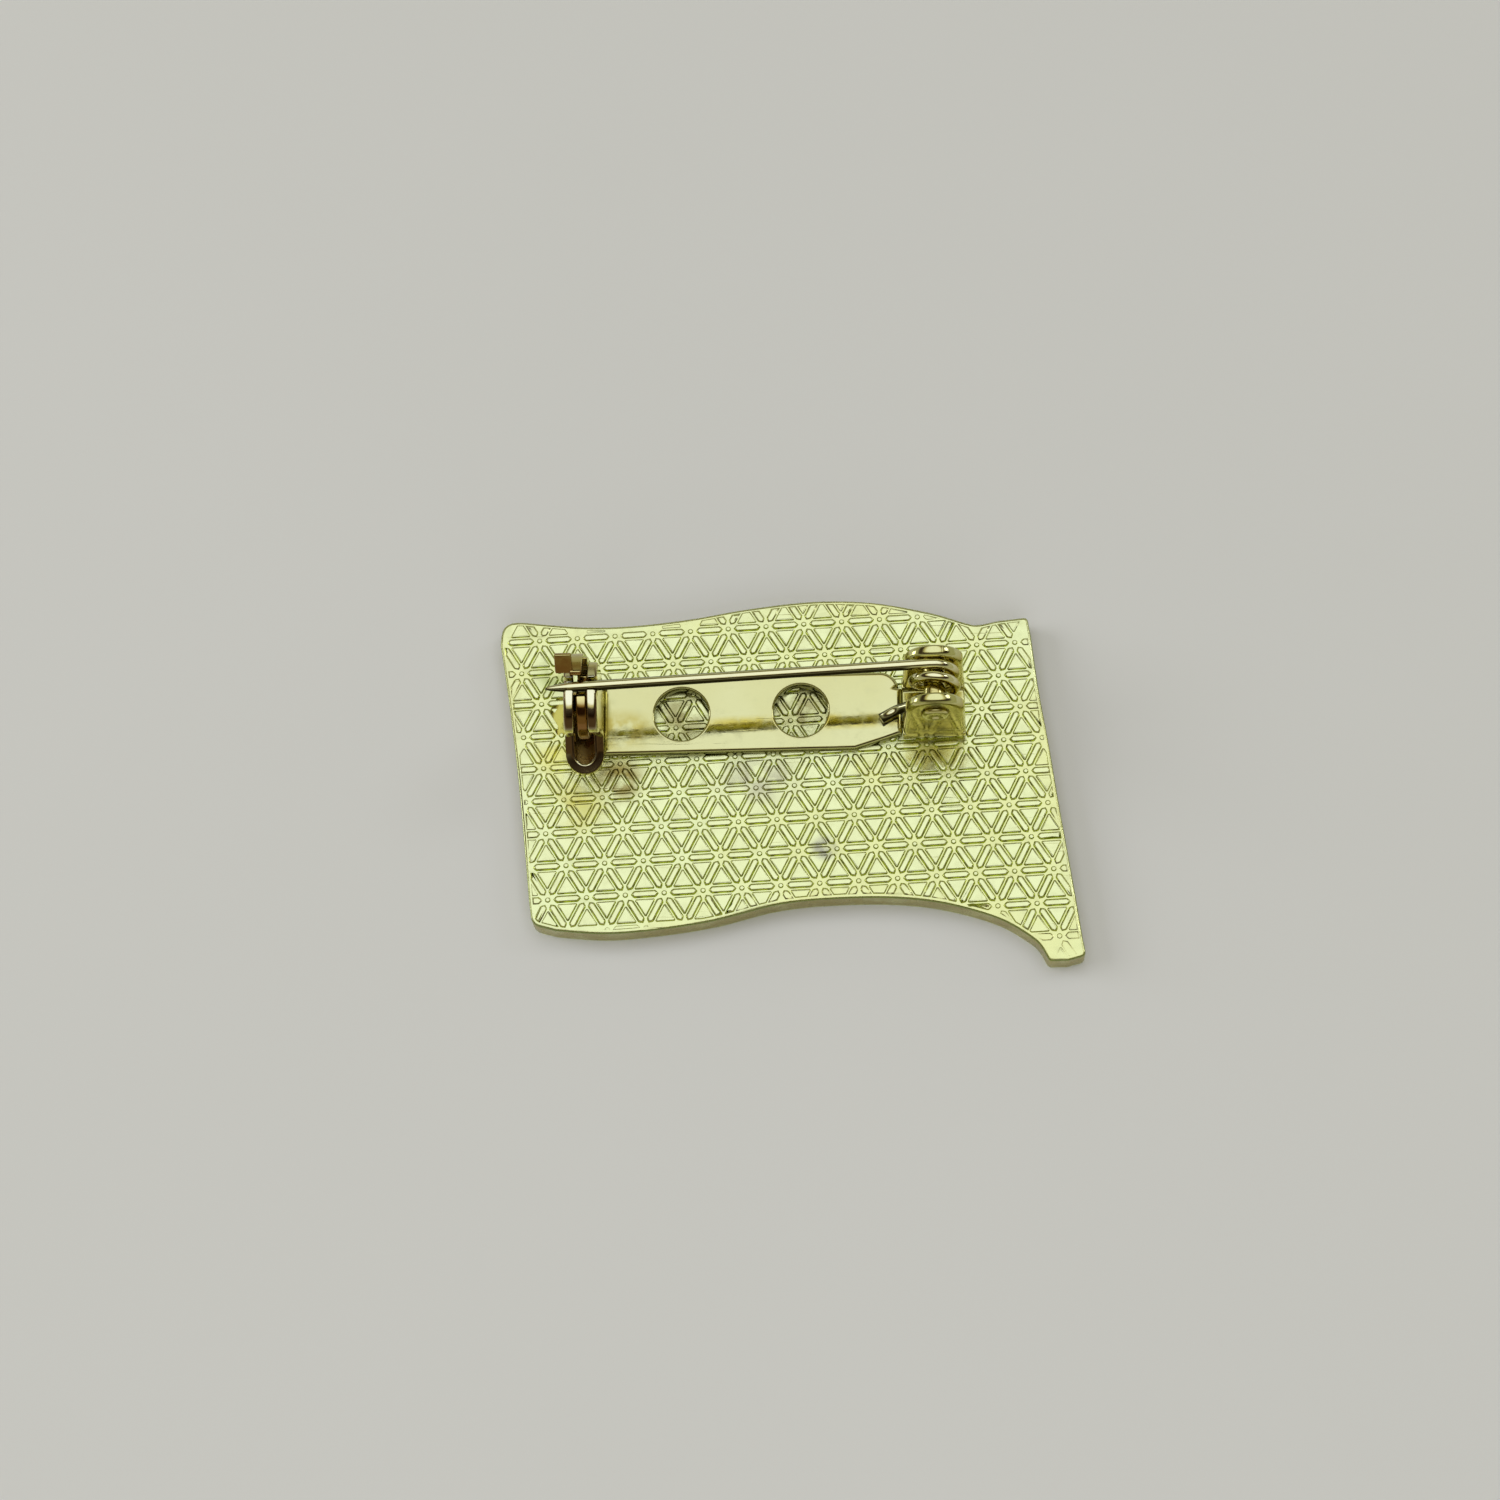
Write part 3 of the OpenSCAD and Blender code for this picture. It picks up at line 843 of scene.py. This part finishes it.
def plated(name, colour, deep, rough, grain, scratch, stain_and_light_patches=(), back=False, painted_by_facing=()):
    """Plated metal: colour drifts, fine grain, short scratches, and patches, some of them stains and some painted
    light; the plate's back has more wear, and painted shade.

    A patch is its x, y, radius, stretch, tint and share. Each facing tint paints shade or a reflection into the
    colour of the faces that look less upwards: it is full where the normal's share along Z is below its first
    number, gone above its second, and then comes the tint. A fourth number is the X by which that tint has faded
    out.
    """
    n = Surface(name)
    drift = n.math("MULTIPLY", n.remap(n.noise(5.0, 3), 0.35, 0.65), 0.45)
    fine = n.noise(0.35, 5, shift=0.01)
    tone = n.mix(drift, colour, deep)
    tone = n.mix(n.remap(fine, 0.55, 0.75, 0.0, 0.35), tone, tuple(0.9 * c for c in colour))
    if back:
        tone = back_wear_and_shade(n, tone, colour, drift)
    # Painted shade and reflections: faces that turn away from straight up get their own tint
    for low, high, tint, *reach in painted_by_facing:
        share = n.slope(low, high)
        if reach:
            share = n.math("SUBTRACT", share, n.height(reach[0] - 1, reach[0], "X"))
        tone = n.mix(share, tone, tint)
    # Patches: real stains, and painted shade, shadows and reflections, as listed by each material
    for stain_and_light_patch in stain_and_light_patches:
        tone = n.stain_and_light_patch(tone, *stain_and_light_patch)
    n.set("Base Color", tone)
    n.set("Metallic", 1.0)
    lines = n.noise(0.16, 3, stretch=(0.06, 1, 1))
    cross = n.noise(0.2, 3, stretch=(1, 0.08, 1), shift=0.03)
    marks = n.math("ADD", n.remap(lines, 0.62, 0.75), n.remap(cross, 0.66, 0.8))
    n.set("Roughness", n.math("ADD", n.remap(fine, 0.3, 0.75, rough, rough + 0.14),
                              n.math("MULTIPLY", marks, 0.06)))
    height = n.math("ADD", n.math("MULTIPLY", n.noise(0.12, 6, roughness=0.6), grain),
                    n.math("MULTIPLY", marks, -scratch))
    if back:
        height = n.math("ADD", height, flux_bumps(n))
    bump = n.node("Bump", {"Height": height, "Distance": 0.02 * MM, "Strength": 1.0})
    n.set("Normal", bump.outputs[0])
    return n.material


def floor_material():
    """Pale, nearly even and dull."""
    n = Surface("pale_floor")
    n.set("Base Color", n.mix(n.noise(40.0, 3), (0.724, 0.737, 0.75), (0.764, 0.775, 0.798)))
    n.set("Roughness", 0.55)
    n.set("Specular IOR Level", 0.3)
    return n.material


# Light and camera ----

# The dome's tones, from its lowest part upwards
HORIZON = (0.39, 0.375, 0.23)
DARK_SIDE = (0.045, 0.03, 0.018)
WARM_SIDE = (0.62, 0.54, 0.27)
BRIGHT_SIDE = (1.07, 1.08, 1.08)
# How far the dome's upper steps dip towards the far side
SKY_LEAN = 0.12
# The camera's place over the plate, and its right, up and back directions
CAMERA_AT = Vector((5.06, -65.95, 187.88 + PLATE_T))
CAMERA_TURN = Matrix(((0.99902, -0.01123, -0.04279), (0.02510, 0.94033, 0.33934), (0.03642, -0.34008, 0.93969)))
FLOOR_HALF_M = 1.5


def softbox(name, place, size, strength, mirrored=True):
    """A soft lamp that faces the pin; one that isn't mirrored lights the floor but shows in no metal."""
    light = bpy.data.lights.new(name, "AREA")
    light.shape = "RECTANGLE"
    light.size, light.size_y = size
    light.energy = strength
    lamp = bpy.data.objects.new(name, light)
    bpy.context.scene.collection.objects.link(lamp)
    lamp.location = place
    lamp.rotation_euler = (-Vector(place)).to_track_quat("-Z", "Y").to_euler()
    lamp.visible_glossy = mirrored


def world():
    """A dome that is bright overhead, dark half way down and of a middling tone low round the horizon."""
    studio = bpy.data.worlds.new("studio")
    studio.use_nodes = True
    n = Nodes(studio.node_tree)
    parts = n.node("SeparateXYZ", {0: n.node("TexCoord").outputs["Generated"]}).outputs
    lift = n.math("MULTIPLY_ADD", parts["Y"], SKY_LEAN, parts["Z"])
    low_sky = n.mix(n.remap(parts["Z"], 0.38, 0.56), HORIZON, DARK_SIDE)
    mid_sky = n.mix(n.remap(lift, 0.74, 0.82), low_sky, WARM_SIDE)
    sky = n.mix(n.remap(lift, 0.82, 0.9), mid_sky, BRIGHT_SIDE)
    background = n.tree.nodes["Background"].inputs
    n.feed(background["Color"], sky)
    n.feed(background["Strength"], 1.0)
    bpy.context.scene.world = studio


def camera():
    """The photo's camera, above the plate and a little to its near side."""
    data = bpy.data.cameras.new("photo_camera")
    data.sensor_width = 36
    data.lens = 76.8
    data.clip_start = 0.01
    data.clip_end = 10
    eye = bpy.data.objects.new("photo_camera", data)
    bpy.context.scene.collection.objects.link(eye)
    eye.matrix_world = Matrix.Translation(CAMERA_AT * MM) @ CAMERA_TURN.transposed().to_4x4()
    bpy.context.scene.camera = eye


def floor_sheet():
    """The pale sheet that the pin lies on."""
    mesh = bpy.data.meshes.new("floor")
    s = FLOOR_HALF_M
    mesh.from_pydata([(-s, -s, 0), (s, -s, 0), (s, s, 0), (-s, s, 0)], [], [(0, 1, 2, 3)])
    sheet = bpy.data.objects.new("floor", mesh)
    bpy.context.scene.collection.objects.link(sheet)
    mesh.materials.append(floor_material())


# The scene ----

plate_metal = plated(
    "plate_metal", GOLD, DEEP_GOLD, rough=0.2, grain=0.5, scratch=0.4, back=True,
    # Patches: the warm and yellow ones by the catch and before the hinge are painted reflections, the dark brown one
    # right of the catch a painted shadow, those round the holes painted shade; the grey patch below the bar and the
    # dark green, dark grey and deep gold ones only change the tone there
    stain_and_light_patches=[(-13.1, -1.2, 3.0, (1, 1), WARM_REFLECTION, 1.0), (-14.5, 2.4, 2.2, (1, 0.8), CATCH_REFLECTION, 0.9),
            (-14.5, 7.4, 1.8, (1, 1), DARK_GREEN, 0.9), (-10.4, 0.3, 2.2, (1, 1.1), CATCH_SHADOW, 1.5),
            (-1.7, 0.1, 3.8, (1, 1.6), GREY, 1.0), (2.3, -4.5, 1.1, (1, 1), DARK_GREY, 1.6),
            (5.5, 0.6, 2.6, (1, 1), DEEP_GOLD, 0.5), (9.4, 1.4, 2.4, (1, 1.5), WARM_REFLECTION, 0.7)]
    # Painted shade round the bar's holes
    + [(x, y, 3.3, (1, 1), HOLE_SHADE, 1.0) for x, y in HOLES]
)
bar_metal = plated(
    "bar_metal", (0.68, 0.69, 0.38), (0.60, 0.58, 0.25), rough=0.05, grain=0.07, scratch=0.12,
    # Painted light on the bar: olive reflection of the catch at its left end, the needle's reflection along it, a
    # shadow line at its end, and painted shade on its steep edges
    stain_and_light_patches=[(-10.3, 3.3, 3.0, (1, 1.8), OLIVE_REFLECTION, 2.0), (1.5, 3.6, 0.7, (0.06, 1), NEEDLE_REFLECTION, 1.6),
            (BAR_END_X, BAR_Y, 0.55, (1, 0.12), GAP_SHADOW, 1.0)],
    painted_by_facing=[(0.1, 0.6, (0.17, 0.16, 0.05))]
)
ear_metal = plated(
    "ear_metal", (0.70, 0.71, 0.36), (0.56, 0.52, 0.19), rough=0.07, grain=0.12, scratch=0.3,
    # Painted shade: a dark band round the rivet on the near ear's front; the facing tint paints a darker reflection
    # on the ears' upright faces
    stain_and_light_patches=[(HINGE_X, NEAR_EAR_Y - 0.1, 0.36, (0.3, 1), (0.20, 0.18, 0.05), 1.5)],
    painted_by_facing=[(0.2, 0.8, (0.54, 0.47, 0.11))]
)
catch_metal = plated(
    "catch_metal", (0.84, 0.84, 0.62), (0.74, 0.70, 0.36), rough=0.06, grain=0.12, scratch=0.3,
    # Painted light: an olive reflection on the far side, a dark brown reflection on every face that doesn't look
    # straight up, and a golden reflection of the plate on the upright walls
    stain_and_light_patches=[(CATCH_X, 6.3, 1.7, (0.5, 1), OLIVE_REFLECTION, 1.4)],
    painted_by_facing=[(0.78, 0.89, (0.14, 0.08, 0.04)), (0.35, 0.6, (0.74, 0.70, 0.36))]
)
# Painted shade: the floor and post between the catch's cheeks are coloured dark brown
well_painted_shade = plated(
    "well_painted_shade", (0.42, 0.30, 0.10), (0.30, 0.20, 0.07), rough=0.2, grain=0.3, scratch=0.3
)
solder_metal = plated(
    "solder_metal", (0.56, 0.53, 0.13), (0.44, 0.40, 0.10), rough=0.12, grain=0.3, scratch=0.1
)
wire_metal = plated(
    "wire_metal", (0.82, 0.82, 0.54), (0.74, 0.72, 0.42), rough=0.05, grain=0.1, scratch=0.2,
    # Painted shade and reflections: a golden-brown tint on the wire's flanks, a near-black band on the needle's
    # lower flanks that fades out before the coil, and a golden tint on the very underside
    painted_by_facing=[(0.2, 0.8, (0.56, 0.47, 0.10)), (0.6, 0.9, (0.03, 0.023, 0.006), 8.3),
                 (-0.8, -0.55, (0.60, 0.56, 0.24))]
)
latch_metal = plated(
    "latch_metal", (0.74, 0.68, 0.32), (0.60, 0.50, 0.17), rough=0.06, grain=0.12, scratch=0.3,
    # Painted light: an olive reflection on the far side, and dark brown shade on every face that doesn't look
    # straight up
    stain_and_light_patches=[(CATCH_X, 6.6, 2.0, (0.5, 1), OLIVE_REFLECTION, 1.4)],
    painted_by_facing=[(0.88, 0.98, (0.27, 0.135, 0.04))]
)
rivet_metal = plated(
    "rivet_metal", (0.66, 0.61, 0.26), (0.50, 0.43, 0.15), rough=0.07, grain=0.12, scratch=0.3
)

plate = plate_shape().build("plate_back", "badge", plate_metal)
bar = bar_shape().build("pin_bar", "badge", bar_metal)
solder = solder_shape().build("solder_pools", "badge", solder_metal)
ears = ears_shape().build("hinge_ears", "badge", ear_metal)
catch = catch_shape().build("catch_housing", "badge", catch_metal)
well = well_shape().build("catch_well", "badge", well_painted_shade)
rivet = rivet_shape().build("rivet", "badge", rivet_metal)
stem = stem_shape().build("stem_wire", "stem", wire_metal, weighted=False)
latch = latch_shape().build("latch_piece", "latch", latch_metal)
for piece in (plate, bar, ears, catch, well, solder):
    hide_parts("flag_plate")
for piece, node, slot_name in ((rivet, "hinge_rivet", "rivet_metal"), (stem, "pin_stem", "pin_wire"),
                               (latch, "catch_latch", "latch_metal")):
    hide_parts(node)

floor_sheet()
world()
bpy.context.scene.view_settings.view_transform = "Standard"
softbox("near_fill", (0.1, -0.7, 0.6), (0.8, 0.5), 1.5, mirrored=False)
softbox("left_fill", (-0.8, 0.1, 0.5), (0.6, 0.5), 2.5, mirrored=False)
softbox("left_lamp", (-0.8, 0.2, 0.12), (0.25, 0.2), 0.45)
softbox("right_lamp", (0.62, 0.3, 0.5), (0.2, 0.2), 0.35)
camera()
